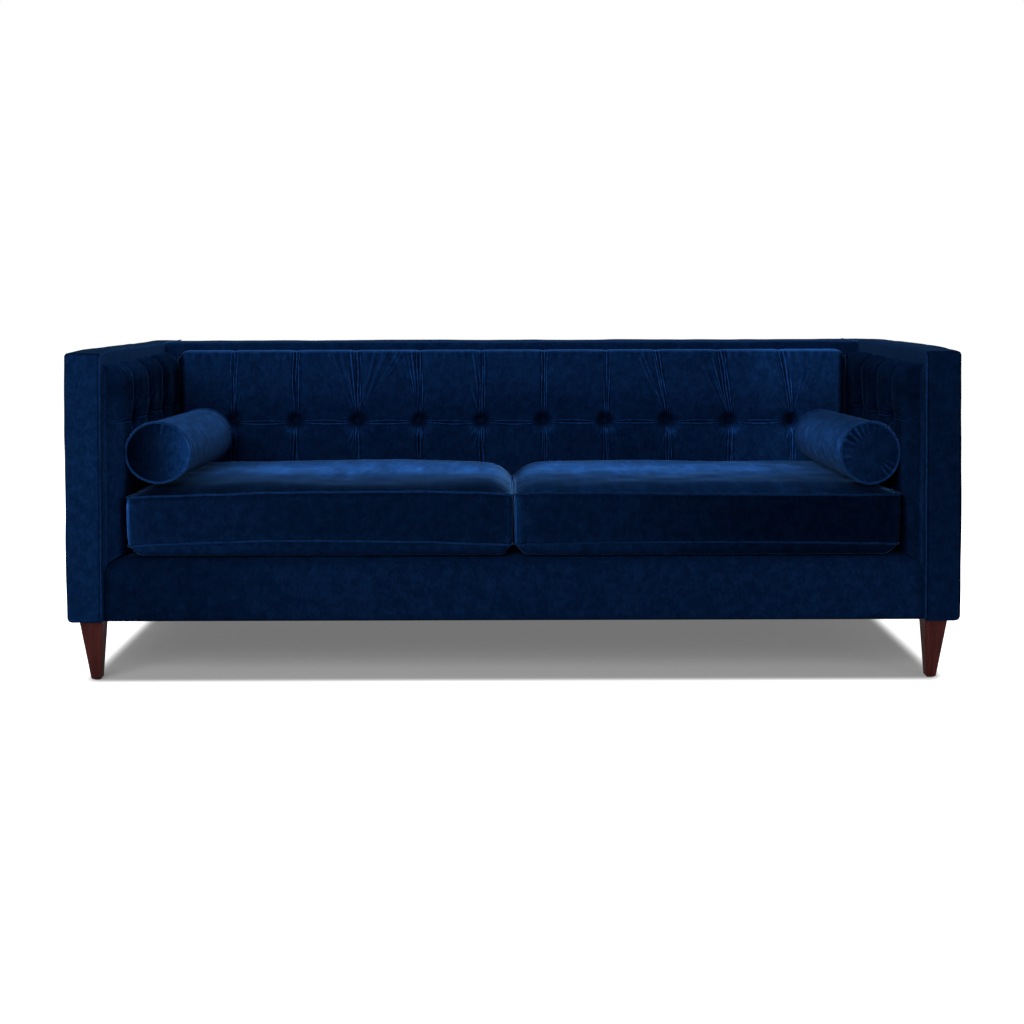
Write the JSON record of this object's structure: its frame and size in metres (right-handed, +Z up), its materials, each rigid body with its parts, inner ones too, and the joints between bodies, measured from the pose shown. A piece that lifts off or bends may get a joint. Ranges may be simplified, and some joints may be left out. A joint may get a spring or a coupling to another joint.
{
  "type": "tuxedo sofa",
  "caption": "Velvet tuxedo sofa: tufted back and level arms, loose box seat cushions, round bolsters and tapered wood legs.",
  "frame": {"origin": "on the floor under the middle of the sofa", "axes": "+X to the viewer's right along the seat, +Y to the rear, +Z up; the sofa faces -Y"},
  "size_m": [2.134, 0.864, 0.787],
  "materials": {
    "navy_velvet": "dense velvet pile with a soft sheen",
    "navy_piping": "velvet-covered piping and buttons",
    "cherry_wood": "dark cherry stain, satin lacquer",
    "frame_timber": "planed softwood",
    "plywood": "sanded plywood",
    "spring_steel": "plain steel",
    "felt": "needled felt",
    "foam": null,
    "dust_cloth": "black non-woven cloth",
    "nylon": "black nylon"
  },
  "bodies": {
    "sofa": {"seat_front_rail": "frame_timber", "seat_rear_rail": "frame_timber", "seat_side_rail_left": "frame_timber", "seat_side_rail_right": "frame_timber", "seat_stretchers": "frame_timber", "corner_blocks": "frame_timber", "arm_bottom_rails": "frame_timber", "arm_front_posts": "frame_timber", "arm_rear_posts": "frame_timber", "arm_top_rails": "frame_timber", "arm_inner_boards": "plywood", "arm_front_boards": "plywood", "arm_bolts": "spring_steel", "back_ribs": "plywood", "back_top_rail": "frame_timber", "back_bottom_rail": "frame_timber", "back_inner_board": "plywood", "seat_springs": "spring_steel", "spring_clips": "spring_steel", "deck_insulator": "felt", "deck_pad": "felt", "front_edge_roll": "foam", "deck_cloth": "navy_velvet", "apron_cover": "navy_velvet", "arm_cover_left": "navy_velvet", "arm_cover_right": "navy_velvet", "arm_front_panel_left": "navy_velvet", "arm_front_panel_right": "navy_velvet", "arm_front_welts": "navy_piping", "back_cover": "navy_velvet", "dust_cover": "dust_cloth", "arm_pad_left": "navy_velvet", "arm_pad_right": "navy_velvet", "back_pad": "navy_velvet", "arm_buttons": "navy_piping", "back_buttons": "navy_piping", "leg_front_left": "cherry_wood", "leg_front_right": "cherry_wood", "leg_rear_left": "cherry_wood", "leg_rear_right": "cherry_wood", "leg_plates": "spring_steel", "plate_screws": "spring_steel", "hanger_bolts": "spring_steel", "glides": "nylon"},
    "left_seat_cushion": {"seat_cushion_left": "navy_velvet", "seat_core_left": "foam", "seat_welts_left": "navy_piping", "seat_zip_left": "nylon"},
    "left_bolster": {"bolster_left": "navy_velvet", "bolster_core_left": "foam", "bolster_welts_left": "navy_piping"},
    "right_seat_cushion": {"seat_cushion_right": "navy_velvet", "seat_core_right": "foam", "seat_welts_right": "navy_piping", "seat_zip_right": "nylon"},
    "right_bolster": {"bolster_right": "navy_velvet", "bolster_core_right": "foam", "bolster_welts_right": "navy_piping"}
  },
  "joints": [
    {"name": "left_seat_cushion_lift", "type": "slide", "parent": "sofa", "child": "left_seat_cushion", "axis": [0, 0, 1], "range_m": [0, 0.5]},
    {"name": "left_bolster_lift", "type": "slide", "parent": "left_seat_cushion", "child": "left_bolster", "axis": [0, 0, 1], "range_m": [0, 0.35]},
    {"name": "right_seat_cushion_lift", "type": "slide", "parent": "sofa", "child": "right_seat_cushion", "axis": [0, 0, 1], "range_m": [0, 0.5]},
    {"name": "right_bolster_lift", "type": "slide", "parent": "right_seat_cushion", "child": "right_bolster", "axis": [0, 0, 1], "range_m": [0, 0.35]}
  ]
}
